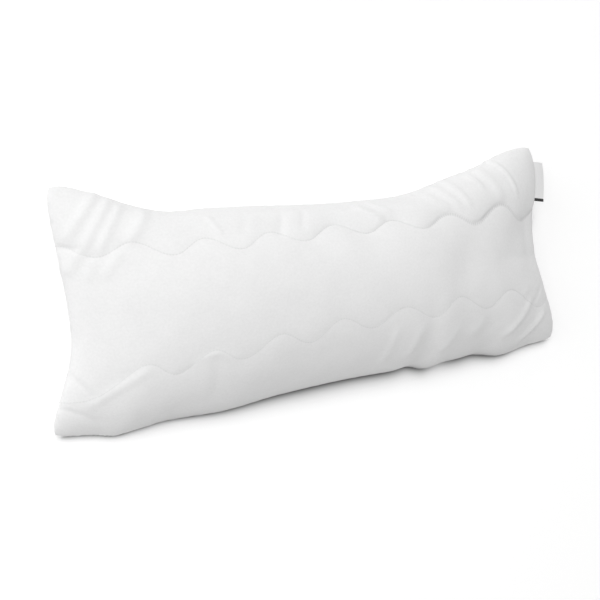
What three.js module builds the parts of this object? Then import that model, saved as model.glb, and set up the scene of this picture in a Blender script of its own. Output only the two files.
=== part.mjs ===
// Lumbar pillow insert: a filled cloth cover, 700 by 300 mm as cut, quilted with two wavy sewn rows,
// with a folded tape label in its right side seam. It lies on its back on the plane z = 0.
// Millimetres. X runs along the pillow, Y across it from the bottom side to the top side,
// and Z points out of its front face.

import * as THREE from 'three';
import { mergeVertices } from 'three/addons/utils/BufferGeometryUtils.js';

// Corners of the seam, before they are rounded off and before the bottom side droops
const TOP_LEFT = new THREE.Vector3(-332, 138, 56);
const TOP_RIGHT = new THREE.Vector3(338, 138, 58);
const BOTTOM_LEFT = new THREE.Vector3(-352, -148.5, 34);
const BOTTOM_RIGHT = new THREE.Vector3(379, -137.5, 36);
const CORNER_CUT_ALONG = 0.018;
const CORNER_CUT_ACROSS = 0.036;
const CORNER_REACH_ALONG = 13;
const CORNER_REACH_ACROSS = 34;

// Places on the cover run from -1 to 1: along from the left end to the right end,
// across from the bottom side to the top side.

// How far each side is drawn in between its corners, and the lobes it swells or dips by
const TOP_DRAWN_IN = { depth: 43, deeper: 9, deeperFrom: -0.5, deeperTo: 0.1 };
const TOP_RAMPS = { leftFrom: -1.0, leftTo: -0.57, rightFrom: 0.25, rightTo: 1.02 };
const TOP_SEAM_RISE = 9;
const TOP_LOBES = [
  { at: 0.70, halfWidth: 0.09, out: -4 },
];
const BOTTOM_BULGE = 5;
const BOTTOM_LOBES = [
  { at: -0.80, halfWidth: 0.14, out: 9 },
  { at: -0.45, halfWidth: 0.14, out: 5 },
  { at: 0.36, halfWidth: 0.07, out: 4 },
  { at: 0.74, halfWidth: 0.12, out: 7 },
];
const LEFT_DRAWN_IN = { depth: 28.5, topFrom: -0.3, topTo: 1.15, bottomFrom: -1.1, bottomTo: -0.2 };
const RIGHT_DRAWN_IN = { depth: 20, topFrom: 0.0, topTo: 0.75, bottomFrom: -0.85, bottomTo: -0.05 };
const RIGHT_BOW = 3;

// The bottom side sags between its corners, and the cover droops to the floor close to it
const BOTTOM_SAG = 16;
const BOTTOM_FLATNESS = 4;
const BOTTOM_DROOP = 15;
const DROOP_POWER = 6;

// Crown of the two panels over the seam, and how full they stand near their edges
const FRONT_CROWN = 76;
const BACK_CROWN = 74;
const LENGTH_ROUNDING = { power: 3.0, edge: 0.58 };
const WIDTH_ROUNDING = { power: 2.1, edge: 0.58 };
const SEAM_THICKNESS = 3;
const FLOOR_SHOULDER = 4;

// Quilting: two sewn rows whose waves are in step. Late is in waves, all else but along in millimetres
const WAVES_PER_HALF = 3.95;
const WAVE_AT_MIDDLE = 3.15;
const REACH_ABOVE = 6;
const REACH_BELOW = 13;
const UPPER_ROW = [
  { along: -1.0, height: 64.5, wave: 8.3, late: 0.10, depth: 1.8 },
  { along: -0.7, height: 56, wave: 8.3, late: 0.10, depth: 1.2 },
  { along: -0.3, height: 53, wave: 8.0, late: 0.00, depth: 1.5 },
  { along: 0.0, height: 54.5, wave: 7.2, late: 0.00, depth: 3.0 },
  { along: 0.35, height: 51.5, wave: 7.0, late: 0.02, depth: 3.4 },
  { along: 0.7, height: 51.5, wave: 11.5, late: 0.00, depth: 3.8 },
  { along: 1.0, height: 46, wave: 12.0, late: 0.16, depth: 3.8 },
];
const LOWER_ROW = [
  { along: -1.0, height: -114, wave: 8.0, late: 0.10, depth: 0.5 },
  { along: -0.85, height: -86, wave: 9.5, late: 0.10, depth: 0.8 },
  { along: -0.7, height: -80, wave: 10.0, late: 0.04, depth: 1.5 },
  { along: -0.5, height: -74, wave: 10.0, late: -0.07, depth: 1.5 },
  { along: -0.3, height: -68.5, wave: 10.0, late: -0.08, depth: 1.5 },
  { along: 0.0, height: -60.5, wave: 10.0, late: -0.11, depth: 1.5 },
  { along: 0.3, height: -60, wave: 10.0, late: -0.05, depth: 1.5 },
  { along: 0.6, height: -60.5, wave: 11.0, late: 0.00, depth: 1.5 },
  { along: 0.8, height: -66, wave: 12.0, late: 0.08, depth: 1.5 },
  { along: 1.0, height: -80, wave: 12.5, late: 0.24, depth: 1.5 },
];

// Soft folds that the filling pulls across the corners: a ridge is up, a trough is down
const FOLD_END = 0.18;
const FOLD_FADE = 0.2;
const BACK_FOLD_SHARE = 0.7;
const TOP_LEFT_FOLDS = [
  { from: [-272, 128], to: [-318, 75], bow: -2, halfWidth: 7, up: 3 },
  { from: [-259, 125], to: [-301, 64], bow: -2, halfWidth: 7, up: 3 },
  { from: [-247, 120], to: [-285, 60], bow: -2, halfWidth: 7, up: 2.5 },
  { from: [-218, 101], to: [-252, 67], bow: 0, halfWidth: 9, up: 2.5 },
  { from: [-305, 60], to: [-319, 37], bow: 0, halfWidth: 7, up: 2 },
  { from: [-264, 56], to: [-285, 31], bow: 0, halfWidth: 8, up: 1.5 },
];
const TOP_FOLDS = [
  { from: [-66, 82], to: [-81, 54], bow: 0, halfWidth: 7, up: -1.5 },
  { from: [23, 80], to: [52, 58], bow: 0, halfWidth: 7, up: 1.5 },
];
const TOP_RIGHT_FOLDS = [
  { from: [254, 125], to: [284, 75], bow: 4, halfWidth: 7, up: 2.5 },
  { from: [231, 117], to: [257, 69], bow: 2, halfWidth: 8, up: 2 },
  { from: [178, 101], to: [198, 68], bow: 0, halfWidth: 7, up: 2 },
  { from: [156, 96], to: [182, 65], bow: 0, halfWidth: 7, up: 2 },
  { from: [126, 88], to: [160, 65], bow: 0, halfWidth: 7, up: 1.5 },
];
const BOTTOM_RIGHT_FOLDS = [
  { from: [309, -73], to: [266, -116], bow: 2, halfWidth: 7, up: 3 },
  { from: [340, -96], to: [299, -130], bow: 2, halfWidth: 7, up: 2.5 },
  { from: [218, -84], to: [200, -107], bow: 0, halfWidth: 10, up: 2 },
  { from: [138, -72], to: [120, -102], bow: 0, halfWidth: 9, up: 1.5 },
  { from: [89, -66], to: [78, -95], bow: 0, halfWidth: 8, up: 1.5 },
  { from: [243, -24], to: [321, -25], bow: 0, halfWidth: 20, up: -2 },
];
const BOTTOM_LEFT_FOLDS = [
  { from: [-309, -109], to: [-251, -79], bow: 0, halfWidth: 7, up: 2.5 },
  { from: [-322, -78], to: [-307, -104], bow: 1, halfWidth: 7, up: -2 },
  { from: [-331, -106], to: [-314, -120], bow: 1, halfWidth: 7, up: 2 },
];
const FOLDS = [
  ...TOP_LEFT_FOLDS,
  ...TOP_FOLDS,
  ...TOP_RIGHT_FOLDS,
  ...BOTTOM_RIGHT_FOLDS,
  ...BOTTOM_LEFT_FOLDS,
];

// Folded label: two plies of tape with the fold at the outer edge
const LABEL_TOP = 0.86;
const LABEL_BOTTOM = 0.45;
const LABEL_OUT = 18.5;
const LABEL_PLY = 1;
const LABEL_FOLD_RADIUS = 0.9;
const LABEL_DROOP = 3;
const LABEL_LEAN = 3;
const LABEL_SEAM_GAP = 0.3;
const LABEL_STEPS = 6;
const LABEL_PLY_STEPS = 4;
const LABEL_FOLD_STEPS = 6;

// Facets
const COLUMNS = 88;
const COLUMN_EASE = 0.55;
const OUTER_ROWS = 8;
const MIDDLE_ROWS = 10;
const MERGE_DISTANCE = 1e-3;

const lerp = THREE.MathUtils.lerp;
const ramp = (from, to, t) => THREE.MathUtils.smoothstep(t, from, to);
const share = (place) => (place + 1) / 2;
const hump = (t, at, halfWidth) => Math.exp(-(((t - at) / halfWidth) ** 2));

function between(start, end, place) {
  return new THREE.Vector3().lerpVectors(start, end, share(place));
}

// How far all the lobes of a side stand out at a place along it
function lobesAt(lobes, along) {
  return lobes.reduce((sum, lobe) => sum + lobe.out * hump(along, lobe.at, lobe.halfWidth), 0);
}

// The four sides of the seam
function topSide(along) {
  const side = between(TOP_LEFT, TOP_RIGHT, along);
  const { leftFrom, leftTo, rightFrom, rightTo } = TOP_RAMPS;
  const pull = ramp(leftFrom, leftTo, along) * (1 - ramp(rightFrom, rightTo, along));
  const { depth, deeper, deeperFrom, deeperTo } = TOP_DRAWN_IN;
  side.y -= pull * (depth + deeper * ramp(deeperFrom, deeperTo, along));
  side.y += lobesAt(TOP_LOBES, along);
  side.z += pull * TOP_SEAM_RISE;
  return side;
}

function bottomSide(along) {
  const side = between(BOTTOM_LEFT, BOTTOM_RIGHT, along);
  const flank = 1 - along ** BOTTOM_FLATNESS;
  side.y -= BOTTOM_BULGE * flank + lobesAt(BOTTOM_LOBES, along);
  side.z -= BOTTOM_SAG * flank;
  return side;
}

function sidePull(shape, across) {
  const above = 1 - ramp(shape.topFrom, shape.topTo, across);
  return shape.depth * above * ramp(shape.bottomFrom, shape.bottomTo, across);
}

function leftSide(across) {
  const side = between(BOTTOM_LEFT, TOP_LEFT, across);
  side.x += sidePull(LEFT_DRAWN_IN, across);
  return side;
}

function rightSide(across) {
  const side = between(BOTTOM_RIGHT, TOP_RIGHT, across);
  side.x -= sidePull(RIGHT_DRAWN_IN, across) + RIGHT_BOW * (1 - across ** 4);
  return side;
}

// A point of the sheet that the four sides span, with its corners rounded off
function seamSheet(along, across) {
  const a = along * (1 - CORNER_CUT_ALONG * Math.abs(across) ** CORNER_REACH_ALONG);
  const b = across * (1 - CORNER_CUT_ACROSS * Math.abs(along) ** CORNER_REACH_ACROSS);
  const acrossBlend = between(bottomSide(a), topSide(a), b);
  const alongBlend = between(leftSide(b), rightSide(b), a);
  const cornerBlend = between(
    between(BOTTOM_LEFT, BOTTOM_RIGHT, a),
    between(TOP_LEFT, TOP_RIGHT, a),
    b,
  );
  const sheet = acrossBlend.add(alongBlend).sub(cornerBlend);
  sheet.z -= BOTTOM_DROOP * share(-b) ** DROOP_POWER;
  return sheet;
}

// Fullness of the filling: 0 on the seam, 1 at the crown
function fullness(along, across) {
  const lengthwise = (1 - Math.abs(along) ** LENGTH_ROUNDING.power) ** LENGTH_ROUNDING.edge;
  const crosswise = (1 - Math.abs(across) ** WIDTH_ROUNDING.power) ** WIDTH_ROUNDING.edge;
  return lengthwise * crosswise;
}

// A sewn row: the height of its line and the depth it is pulled in by, at a place along it
function sewnRow(knots) {
  const places = knots.map((knot) => knot.along);
  const curve = (column) => new THREE.CubicInterpolant(places, knots.map((knot) => knot[column]), 1);
  const height = curve('height');
  const wave = curve('wave');
  const late = curve('late');
  const depth = curve('depth');
  return {
    line: (along) => {
      const waves = WAVE_AT_MIDDLE + WAVES_PER_HALF * along - late.evaluate(along)[0];
      return height.evaluate(along)[0] + wave.evaluate(along)[0] * Math.cos(2 * Math.PI * waves);
    },
    depth: (along) => depth.evaluate(along)[0],
  };
}
const upperRow = sewnRow(UPPER_ROW);
const lowerRow = sewnRow(LOWER_ROW);

// The place across the cover that lies at height y at this place along it
function acrossAt(along, y) {
  const bottom = bottomSide(along).y;
  const top = topSide(along).y;
  return 2 * (y - bottom) / (top - bottom) - 1;
}

// How deep a row pulls the cloth in: steeply above its line and gently below it
function rowDip(row, along, y) {
  const over = y - row.line(along);
  const reach = over > 0 ? REACH_ABOVE : REACH_BELOW;
  return row.depth(along) * Math.exp(-Math.abs(over) / reach);
}

function foldHeight(fold, x, y) {
  const [fromX, fromY] = fold.from;
  const runX = fold.to[0] - fromX;
  const runY = fold.to[1] - fromY;
  const length = Math.hypot(runX, runY);
  const way = ((x - fromX) * runX + (y - fromY) * runY) / length ** 2;
  const aside = ((y - fromY) * runX - (x - fromX) * runY) / length;
  const offLine = aside - fold.bow * 4 * way * (1 - way);
  const ends = ramp(-FOLD_END, FOLD_END, way) * (1 - ramp(1 - FOLD_END, 1 + FOLD_END, way));
  return fold.up * ends * hump(offLine, 0, fold.halfWidth);
}

// The floor presses the back flat, with a soft shoulder round the flat patch
function onFloor(z) {
  if (z <= -FLOOR_SHOULDER) {
    return 0;
  }
  if (z >= FLOOR_SHOULDER) {
    return z;
  }
  return (z + FLOOR_SHOULDER) ** 2 / (4 * FLOOR_SHOULDER);
}

// A point of the cover: face is 1 on the front panel and -1 on the back panel
function coverPoint(along, across, face) {
  const point = seamSheet(along, across);
  const full = fullness(along, across);
  const soft = Math.min(1, full / FOLD_FADE);
  let relief = -Math.max(rowDip(upperRow, along, point.y), rowDip(lowerRow, along, point.y));
  for (const fold of FOLDS) {
    relief += foldHeight(fold, point.x, point.y) * (face > 0 ? 1 : BACK_FOLD_SHARE);
  }
  const crown = face > 0 ? FRONT_CROWN : BACK_CROWN;
  point.z = onFloor(point.z + face * (SEAM_THICKNESS / 2 + crown * full + soft * relief));
  return point;
}

// Facet lines: columns close up towards the ends, rows close up towards the seams and the sewn rows
const ROWS = 2 * OUTER_ROWS + MIDDLE_ROWS;
const easeBoth = (t) => (1 - Math.cos(Math.PI * t)) / 2;

function columnPlace(t) {
  return COLUMN_EASE * Math.sin(t * Math.PI / 2) + (1 - COLUMN_EASE) * t;
}

function rowPlace(row, along) {
  const lower = acrossAt(along, lowerRow.line(along));
  const upper = acrossAt(along, upperRow.line(along));
  if (row <= OUTER_ROWS) {
    return lerp(-1, lower, easeBoth(row / OUTER_ROWS));
  }
  if (row <= OUTER_ROWS + MIDDLE_ROWS) {
    return lerp(lower, upper, easeBoth((row - OUTER_ROWS) / MIDDLE_ROWS));
  }
  return lerp(upper, 1, easeBoth((row - OUTER_ROWS - MIDDLE_ROWS) / OUTER_ROWS));
}

function closedSurface(geometry) {
  geometry.deleteAttribute('normal');
  geometry.deleteAttribute('uv');
  const surface = mergeVertices(geometry, MERGE_DISTANCE);
  surface.computeVertexNormals();
  return surface;
}

// Filled cover: the front and back of a box become the two panels, its sides the seam
function coverGeometry() {
  const box = new THREE.BoxGeometry(2, 2, 2, COLUMNS, ROWS, 1);
  const places = box.attributes.position;
  for (let i = 0; i < places.count; i += 1) {
    const along = columnPlace(places.getX(i));
    const row = Math.round(share(places.getY(i)) * ROWS);
    const point = coverPoint(along, rowPlace(row, along), Math.sign(places.getZ(i)));
    places.setXYZ(i, point.x, point.y, point.z);
  }
  return closedSurface(box);
}

// One step of the tape's way: out from the seam, round the fold and back
function tapeStep(step) {
  const straight = LABEL_OUT - LABEL_FOLD_RADIUS;
  const foldStep = step - LABEL_PLY_STEPS;
  if (foldStep <= 0) {
    return { out: straight * step / LABEL_PLY_STEPS, turn: 0 };
  }
  if (foldStep <= LABEL_FOLD_STEPS) {
    return { out: straight, turn: Math.PI * foldStep / LABEL_FOLD_STEPS };
  }
  const backStep = foldStep - LABEL_FOLD_STEPS;
  return { out: straight * (1 - backStep / LABEL_PLY_STEPS), turn: Math.PI };
}

function labelGeometry() {
  const tapeSteps = 2 * LABEL_PLY_STEPS + LABEL_FOLD_STEPS;
  const box = new THREE.BoxGeometry(1, 1, LABEL_PLY, LABEL_STEPS, tapeSteps, 1);
  const places = box.attributes.position;
  for (let i = 0; i < places.count; i += 1) {
    const down = places.getX(i) + 0.5;
    const seam = seamSheet(1, lerp(LABEL_TOP, LABEL_BOTTOM, down));
    const { out, turn } = tapeStep(Math.round((places.getY(i) + 0.5) * tapeSteps));
    const radius = LABEL_FOLD_RADIUS + places.getZ(i);
    const reach = out + radius * Math.sin(turn);
    const droop = LABEL_DROOP * (1 - down) * (reach / LABEL_OUT) ** 2;
    const height = radius * Math.cos(turn) - droop;
    const lean = LABEL_LEAN * reach / LABEL_OUT;
    places.setXYZ(i, seam.x + LABEL_SEAM_GAP + reach, seam.y - lean, seam.z + height);
  }
  return closedSurface(box);
}

const coverCloth = new THREE.MeshStandardMaterial({ color: 0xf1f1ef, roughness: 0.95, metalness: 0 });
const labelTape = new THREE.MeshStandardMaterial({ color: 0xf4f4f2, roughness: 0.6, metalness: 0 });

const cover = new THREE.Mesh(coverGeometry(), coverCloth);
cover.name = 'cover';
const label = new THREE.Mesh(labelGeometry(), labelTape);
label.name = 'label';

const pillow = new THREE.Group();
pillow.add(cover, label);

export default pillow;
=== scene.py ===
# %% [markdown]
# # A quilted lumbar pillow insert
# The object is one filled cushion: two cloth panels, nominally 70 by 30 cm, sewn together round their
# edges, quilted with two wavy rows of stitching and filled with fibre. A folded tape label is caught in
# one side seam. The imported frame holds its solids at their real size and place. This lesson makes the
# cloth, the thread and the tape that stand for them, in the same place.

# %% Load the frame
import math
from collections import namedtuple

import bpy
import numpy as np
from mathutils import Matrix, Vector, noise


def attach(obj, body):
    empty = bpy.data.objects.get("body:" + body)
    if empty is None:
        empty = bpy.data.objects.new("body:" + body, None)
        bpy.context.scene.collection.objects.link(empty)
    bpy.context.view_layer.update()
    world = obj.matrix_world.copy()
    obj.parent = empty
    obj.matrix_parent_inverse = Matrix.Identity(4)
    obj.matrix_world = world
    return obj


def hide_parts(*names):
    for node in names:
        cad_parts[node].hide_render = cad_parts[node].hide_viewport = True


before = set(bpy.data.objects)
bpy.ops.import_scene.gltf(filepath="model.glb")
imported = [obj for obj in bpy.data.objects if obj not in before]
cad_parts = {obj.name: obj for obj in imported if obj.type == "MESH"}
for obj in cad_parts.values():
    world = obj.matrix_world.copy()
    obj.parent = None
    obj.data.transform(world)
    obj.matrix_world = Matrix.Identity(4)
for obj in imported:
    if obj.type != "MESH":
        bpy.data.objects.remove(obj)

scene = bpy.context.scene
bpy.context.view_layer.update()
MM = 0.001
print("frame nodes:", sorted(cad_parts))

# %% [markdown]
# ## Camera
# The photograph looks at the pillow's face from its left end, a little from above its middle, with the
# picture tipped a few degrees. A camera can be aimed with a Track To constraint, but a fixed turn worked
# out from a place, an aim point and a roll is plainer to read and leaves nothing live in the scene.

# %% Camera
CAMERA_PLACE = Vector((-0.574, 0.078, 1.151))
CAMERA_AIM = Vector((-0.039, -0.027, 0.060))
CAMERA_ROLL = math.radians(-5.9)
CAMERA_LENS = 60
CAMERA_SENSOR = 36


def add_object(name, data):
    made = bpy.data.objects.new(name, data)
    scene.collection.objects.link(made)
    return made


def aimed(place, aim, roll=0.0):
    """The place and turn of something that looks from place to aim, with +Y up in its picture."""
    forward = (aim - place).normalized()
    level = forward.cross(Vector((0, 1, 0))).normalized()
    right = level * math.cos(roll) + level.cross(forward) * math.sin(roll)
    turn = Matrix((right, right.cross(forward), -forward)).transposed().to_4x4()
    return Matrix.Translation(place) @ turn


camera = add_object("camera", bpy.data.cameras.new("camera"))
camera.data.lens = CAMERA_LENS
camera.data.sensor_width = CAMERA_SENSOR
camera.matrix_world = aimed(CAMERA_PLACE, CAMERA_AIM, CAMERA_ROLL)
scene.camera = camera
print("camera is", round((CAMERA_PLACE - CAMERA_AIM).length, 2), "m from the pillow's middle")

# %% [markdown]
# ## Shader sums
# Node trees are long to write link by link. This small class wraps one socket, so that a sum on wires
# adds its Math nodes by itself, and one method adds any other node. The short functions after it are what
# all the finishes share.


# %% Shader sums
class Wire:
    """A socket of a node tree that can be used in sums."""

    def __init__(self, tree, socket=None):
        self.tree = tree
        self.socket = socket

    def node(self, kind, settings=None, sockets=None, output=0):
        """Add a node: its settings are set first, then each socket gets a value or a wire."""
        made = self.tree.nodes.new(kind)
        for name, value in (settings or {}).items():
            setattr(made, name, value)
        for name, value in (sockets or {}).items():
            if isinstance(value, Wire):
                self.tree.links.new(value.socket, made.inputs[name])
            else:
                made.inputs[name].default_value = value
        return Wire(self.tree, made.outputs[output])

    def sum(self, operation, first, second=0.0):
        return self.node("ShaderNodeMath", {"operation": operation}, {0: first, 1: second})

    def __add__(self, other):
        return self.sum("ADD", self, other)

    def __sub__(self, other):
        return self.sum("SUBTRACT", self, other)

    def __rsub__(self, other):
        return self.sum("SUBTRACT", other, self)

    def __mul__(self, other):
        return self.sum("MULTIPLY", self, other)

    def __truediv__(self, other):
        return self.sum("DIVIDE", self, other)

    def exponent(self):
        return self.sum("EXPONENT", self)

    def sine(self):
        return self.sum("SINE", self)

    def absolute(self):
        return self.sum("ABSOLUTE", self)

    def clipped(self, low, high):
        return self.node("ShaderNodeClamp", None, {"Value": self, "Min": low, "Max": high})

    __radd__ = __add__
    __rmul__ = __mul__


def new_material(name):
    """An empty material, its Principled shader, and a wire to start its nodes from."""
    made = bpy.data.materials.new(name)
    made.use_nodes = True
    return made, made.node_tree.nodes["Principled BSDF"], Wire(made.node_tree)


def feed(shader, socket, wire):
    wire.tree.links.new(wire.socket, shader.inputs[socket])


def feed_grey(shader, socket, level):
    """Feed a colour socket with a grey that changes over the surface."""
    feed(shader, socket, level.node("ShaderNodeCombineColor", None, {0: level, 1: level, 2: level}))


def set_values(shader, values):
    """Set the sockets that are the same all over the surface."""
    for socket, value in values.items():
        shader.inputs[socket].default_value = value


def stored(wire, name):
    """The value that the mesh keeps on its points under this name."""
    return wire.node("ShaderNodeAttribute", {"attribute_name": name}, output="Fac")


print("shader sums ready")

# %% [markdown]
# ## Light
# The photograph is a studio picture on white: light comes from all round, more from the top side and
# the left, so that folds show by a soft change of grey. An even sky gives that light more simply than a
# ring of lamps, a few very soft suns add the direction, and one near lamp makes the left end brighter
# than the right.

# %% Light
SKY_STRENGTH = 0.49
SoftSun = namedtuple("SoftSun", "name tilt turn softness strength")
SOFT_SUNS = [
    SoftSun("high_light", 35, 120, 26, 1.14),
    SoftSun("side_light", 65, 160, 30, 0.44),
    SoftSun("low_light", 80, -110, 30, 0.16),
    SoftSun("back_light", 75, 95, 30, 0.12),
]
LAMP_PLACE = Vector((-0.5, 0.2, 1.0))
LAMP_AIM = Vector((-0.1, 0, 0.05))
LAMP_WIDTH = 0.5
LAMP_WATTS = 2.05

world = bpy.data.worlds.new("studio")
world.use_nodes = True
scene.world = world
background = world.node_tree.nodes["Background"]
set_values(background, {"Color": (1, 1, 1, 1), "Strength": SKY_STRENGTH})


def add_sun(sun):
    """A soft sun: tilt is its angle from overhead, turn its angle round from +X, both in degrees."""
    light = add_object(sun.name, bpy.data.lights.new(sun.name, "SUN"))
    light.data.energy = sun.strength
    light.data.angle = math.radians(sun.softness)
    light.rotation_euler = (0, math.radians(sun.tilt), math.radians(sun.turn))


for sun in SOFT_SUNS:
    add_sun(sun)
near_lamp = add_object("near_lamp", bpy.data.lights.new("near_lamp", "AREA"))
near_lamp.data.shape = "DISK"
near_lamp.data.size = LAMP_WIDTH
near_lamp.data.energy = LAMP_WATTS
near_lamp.matrix_world = aimed(LAMP_PLACE, LAMP_AIM)
scene.view_settings.view_transform = "Standard"
print(len(SOFT_SUNS), "soft suns and one near lamp")

# %% [markdown]
# ## The seam's outline
# When a flat cover is filled, the cloth that rises to the crown pulls its sides in, so the corners stand
# out as ears. On this pillow the top side is drawn in most and the bottom side, which it was stood on,
# is nearly straight. A place on the cover is given by two numbers from -1 to 1: along from the left end
# to the right end, and across from the bottom side to the top side. A draw fades in or out between two
# such places, and a lobe is a small scallop of a side: where it is, its half width and how far out it
# goes. The outline is worked out in numpy arrays, because every later step needs it as a formula and not
# as a mesh.

# %% The seam's outline
TOP_LEFT = np.array((-330.5, 138, 56)) * MM
TOP_RIGHT = np.array((338, 138, 58)) * MM
BOTTOM_LEFT = np.array((-350.5, -145, 34)) * MM
BOTTOM_RIGHT = np.array((380.5, -139.5, 36)) * MM
TOP_PULL = 43 * MM
TOP_PULL_IN = (-1.03, -0.57)
TOP_PULL_OUT = (0.25, 1.02)
TOP_PULL_MORE = 9 * MM
TOP_PULL_MORE_IN = (-0.5, 0.1)
TOP_SEAM_RISE = 9 * MM
BOTTOM_BULGE = 5 * MM
BOTTOM_SEAM_SAG = 16 * MM
LEFT_PULL = 25.5 * MM
LEFT_PULL_IN = (-1.1, -0.2)
LEFT_PULL_OUT = (-0.3, 1.15)
RIGHT_PULL = 21 * MM
RIGHT_PULL_IN = (-0.95, -0.05)
RIGHT_PULL_OUT = (0.0, 0.80)
RIGHT_BOW = 3 * MM
BOW_POWER = 4
Lobe = namedtuple("Lobe", "at half_width out")
TOP_LOBES = [
    Lobe(0.70, 0.09, -4 * MM),
]
BOTTOM_LOBES = [
    Lobe(-0.79, 0.05, 3.2 * MM),
    Lobe(-0.74, 0.17, 8.5 * MM),
    Lobe(-0.63, 0.06, -1.5 * MM),
    Lobe(-0.42, 0.15, 6.5 * MM),
    Lobe(0.08, 0.20, -2.5 * MM),
    Lobe(0.325, 0.045, -3.6 * MM),
    Lobe(0.405, 0.05, 4.5 * MM),
    Lobe(0.62, 0.05, -2.6 * MM),
    Lobe(0.755, 0.085, 7 * MM),
]


def ramp(start, end, t):
    """0 before start, 1 after end, and a smooth rise between them."""
    s = np.clip((t - start) / (end - start), 0, 1)
    return s * s * (3 - 2 * s)


def hump(t, half_width):
    """1 at t = 0, falling smoothly to about a third at the half width and nearly to 0 at twice that."""
    return np.exp(-((t / half_width) ** 2))


def between(start, end, place):
    """The point at a place, from -1 to 1, on the straight line from start to end."""
    return start + (end - start) * (place[..., None] + 1) / 2


def top_pull(along):
    """How much of the top side's full draw it has at a place along it, from 0 to 1."""
    return ramp(*TOP_PULL_IN, along) * (1 - ramp(*TOP_PULL_OUT, along))


def top_side(along):
    side = between(TOP_LEFT, TOP_RIGHT, along)
    side[..., 1] -= top_pull(along) * (TOP_PULL + TOP_PULL_MORE * ramp(*TOP_PULL_MORE_IN, along))
    for lobe in TOP_LOBES:
        side[..., 1] += lobe.out * hump(along - lobe.at, lobe.half_width)
    side[..., 2] += top_pull(along) * TOP_SEAM_RISE
    return side


def bottom_side(along):
    side = between(BOTTOM_LEFT, BOTTOM_RIGHT, along)
    flank = 1 - along**BOW_POWER
    side[..., 1] -= BOTTOM_BULGE * flank
    for lobe in BOTTOM_LOBES:
        side[..., 1] -= lobe.out * hump(along - lobe.at, lobe.half_width)
    side[..., 2] -= BOTTOM_SEAM_SAG * flank
    return side


def left_side(across):
    side = between(BOTTOM_LEFT, TOP_LEFT, across)
    side[..., 0] += LEFT_PULL * (1 - ramp(*LEFT_PULL_OUT, across)) * ramp(*LEFT_PULL_IN, across)
    return side


def right_side(across):
    side = between(BOTTOM_RIGHT, TOP_RIGHT, across)
    side[..., 0] -= RIGHT_PULL * (1 - ramp(*RIGHT_PULL_OUT, across)) * ramp(*RIGHT_PULL_IN, across)
    side[..., 0] -= RIGHT_BOW * (1 - across**BOW_POWER)
    return side


middle = np.zeros(1)
print("seam in mm at the middle, bottom and top:",
      (bottom_side(middle)[0] / MM).round(), (top_side(middle)[0] / MM).round())

# %% [markdown]
# ## Seam sheet
# The two panels rise from a thin sheet that the four sides span. Blender's Grid Fill makes such a sheet
# from edges. Here the same blend is a formula, so that any place on the cover can be asked for: the sheet
# across the pillow, plus the sheet along it, less the plain one between the corners, which both hold. Its
# corners are rounded off, and it droops towards the floor along the bottom side.

# %% Seam sheet
CORNER_CUT_ALONG = 0.014
CORNER_CUT_ACROSS = 0.026
CORNER_REACH_ALONG = 18
CORNER_REACH_ACROSS = 50
BOTTOM_DROOP = 15 * MM
DROOP_POWER = 6


def seam_sheet(along, across):
    """The thin sheet that the four sides span, with its corners rounded off."""
    a = along * (1 - CORNER_CUT_ALONG * np.abs(across) ** CORNER_REACH_ALONG)
    b = across * (1 - CORNER_CUT_ACROSS * np.abs(along) ** CORNER_REACH_ACROSS)
    crosswise = between(bottom_side(a), top_side(a), b)
    lengthwise = between(left_side(b), right_side(b), a)
    corners = between(between(BOTTOM_LEFT, BOTTOM_RIGHT, a), between(TOP_LEFT, TOP_RIGHT, a), b)
    sheet = crosswise + lengthwise - corners
    sheet[..., 2] -= BOTTOM_DROOP * ((1 - b) / 2) ** DROOP_POWER
    return sheet


print("the sheet's middle in mm:", (seam_sheet(middle, middle)[0] / MM).round())

# %% [markdown]
# ## Painted shadow under the bottom side
# The pillow in the photograph stands on its bottom side, and a narrow dark line runs under it. This pillow
# lies on its back, where light reaches in under that side, so a shadow is painted on the floor: its colour
# is made darker in a narrow strip there. The strip follows the bottom seam's scallops, moved to the right
# and outwards where the seam is raised. It is wide at the middle, narrow and faint at both ends, and weak
# where a fold lifts the side.

# %% Painted shadow under the bottom side
STATIONS = np.linspace(-1, 1, 401)
PAINTED_SHADOW_DARK = 0.95
STRIP_REACH = 7 * MM
STRIP_END_SHARE = 0.25
STRIP_WIDENS = (-200 * MM, 0)
STRIP_NARROWS = (240 * MM, 330 * MM)
STRIP_LIFT = 0.6
STRIP_LIFT_AT = 0.46
STRIP_LIFT_HALF = 0.06
STRIP_LEAN = 0.5
STRIP_LEAN_MORE = 0.87
STRIP_OUT = 0.2
STRIP_HEIGHT = 60 * MM
STRIP_LEFT_FADE = 12 * MM
STRIP_RIGHT_FADE = 30 * MM
STRIP_LEFT_INSET = 8 * MM


def painted_shadow_tone(x, y):
    """How much shadow is painted on the floor at a point: most along a line a little past the raised seam.
    """
    seam = bottom_side(STATIONS)
    raised = seam[:, 2] - BOTTOM_DROOP
    line_x = seam[:, 0] + raised * (STRIP_LEAN + STRIP_LEAN_MORE * seam[:, 0])
    line_y = seam[:, 1] - raised * STRIP_OUT
    out = np.abs(np.interp(x, line_x, line_y) - y)
    ends = ramp(0, STRIP_LEFT_FADE, x - line_x[0] - STRIP_LEFT_INSET)
    ends = ends * ramp(0, STRIP_RIGHT_FADE, line_x[-1] - x)
    lifted = hump(np.interp(x, line_x, STATIONS) - STRIP_LIFT_AT, STRIP_LIFT_HALF)
    wide = ramp(*STRIP_WIDENS, x) * (1 - ramp(*STRIP_NARROWS, x))
    reach = STRIP_REACH * (STRIP_END_SHARE + (1 - STRIP_END_SHARE) * wide)
    tone = PAINTED_SHADOW_DARK * ends * (1 - STRIP_LIFT * lifted)
    return tone * np.exp(-out / reach - np.interp(x, line_x, raised) / STRIP_HEIGHT)


print("strip fades over", round(STRIP_REACH / MM), "mm to each side at the middle")
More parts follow.
